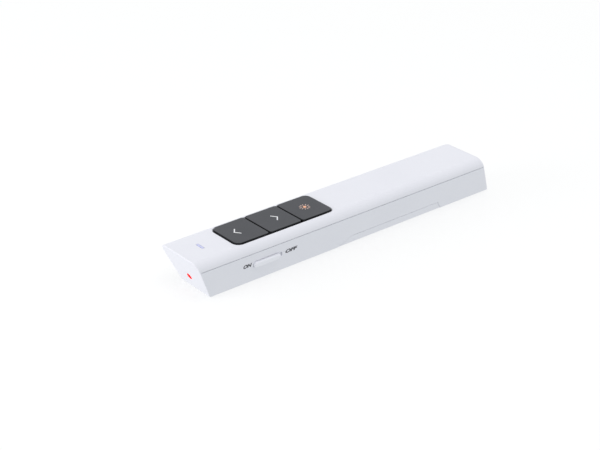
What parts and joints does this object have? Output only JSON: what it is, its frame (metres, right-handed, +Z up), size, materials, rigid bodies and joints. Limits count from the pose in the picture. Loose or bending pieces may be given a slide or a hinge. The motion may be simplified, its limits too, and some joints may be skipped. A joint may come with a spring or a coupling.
{
  "type": "laser pointer",
  "caption": "Slim slanted-end laser pointer with square presenter keys, a side power switch, a battery cover underneath and a USB receiver in its tail.",
  "frame": {"origin": "under the middle of the case, on the surface that it lies on", "axes": "+Z up, -Y towards the nose and the laser's exit, +X towards the side with the power switch"},
  "size_m": [0.0206, 0.1376, 0.0156],
  "materials": {
    "white_abs": "satin white moulded ABS",
    "grey_key_plastic": "matt dark grey, finely textured",
    "dark_silicone": "matt moulded silicone",
    "clear_acrylic": "clear moulded acrylic light guide",
    "optical_glass": "polished",
    "turned_brass": "turned",
    "tan_ceramic": "matt fired ceramic",
    "nickel_plate": "nickel-plated sheet",
    "zinc_steel": "zinc-plated",
    "green_laminate": "solder mask on glass-fibre laminate",
    "black_moulding": "matt moulded",
    "cell_sleeve": null,
    "lamp_resin": "clear lamp resin",
    "red_insulation": "PVC insulation",
    "black_insulation": "PVC insulation"
  },
  "bodies": {
    "case": {"top_cover": "white_abs", "bottom_housing": "white_abs", "keypad_mat": "dark_silicone", "tact_switch_previous": "black_moulding", "tact_switch_next": "black_moulding", "tact_switch_laser": "black_moulding", "main_board": "green_laminate", "radio_chip": "black_moulding", "memory_chip": "black_moulding", "clock_crystal": "nickel_plate", "filter_capacitor": "tan_ceramic", "boost_inductor": "black_moulding", "indicator_led": "lamp_resin", "indicator_lens": "clear_acrylic", "slide_switch_body": "nickel_plate", "laser_barrel": "turned_brass", "laser_window": "optical_glass", "laser_lens": "optical_glass", "lens_spring": "zinc_steel", "laser_diode": "nickel_plate", "laser_board": "green_laminate", "laser_wire_red": "red_insulation", "laser_wire_black": "black_insulation", "battery_cell": "cell_sleeve", "positive_contact": "nickel_plate", "negative_contact": "nickel_plate", "negative_spring": "nickel_plate", "battery_wire_red": "red_insulation", "battery_wire_black": "black_insulation", "housing_screw_left": "zinc_steel", "housing_screw_right": "zinc_steel", "board_screw_left": "zinc_steel", "board_screw_right": "zinc_steel"},
    "previous_key": {"key_previous": "grey_key_plastic", "plunger_previous": "black_moulding"},
    "next_key": {"key_next": "grey_key_plastic", "plunger_next": "black_moulding"},
    "laser_key": {"key_laser": "grey_key_plastic", "plunger_laser": "black_moulding"},
    "power_switch": {"switch_knob": "white_abs", "slide_switch_lever": "black_moulding"},
    "cover": {"battery_cover": "white_abs"},
    "receiver": {"receiver_cap": "white_abs", "receiver_plug_shell": "nickel_plate", "receiver_tongue": "black_moulding", "receiver_board": "green_laminate"}
  },
  "joints": [
    {"name": "key_previous_press", "type": "slide", "parent": "case", "child": "previous_key", "axis": [0, 0, -1], "range_m": [0, 0.0005], "stiffness_N_per_m": 3000},
    {"name": "key_next_press", "type": "slide", "parent": "case", "child": "next_key", "axis": [0, 0, -1], "range_m": [0, 0.0005], "stiffness_N_per_m": 3000},
    {"name": "key_laser_press", "type": "slide", "parent": "case", "child": "laser_key", "axis": [0, 0, -1], "range_m": [0, 0.0005], "stiffness_N_per_m": 3000},
    {"name": "power_switch_slide", "type": "slide", "parent": "case", "child": "power_switch", "axis": [0, 1, 0], "range_m": [0, 0.001]},
    {"name": "battery_cover_lift", "type": "slide", "parent": "case", "child": "cover", "axis": [0, 0, -1], "range_m": [0, 0.015]},
    {"name": "receiver_pull", "type": "slide", "parent": "case", "child": "receiver", "axis": [0, 1, 0], "range_m": [0, 0.022]}
  ]
}
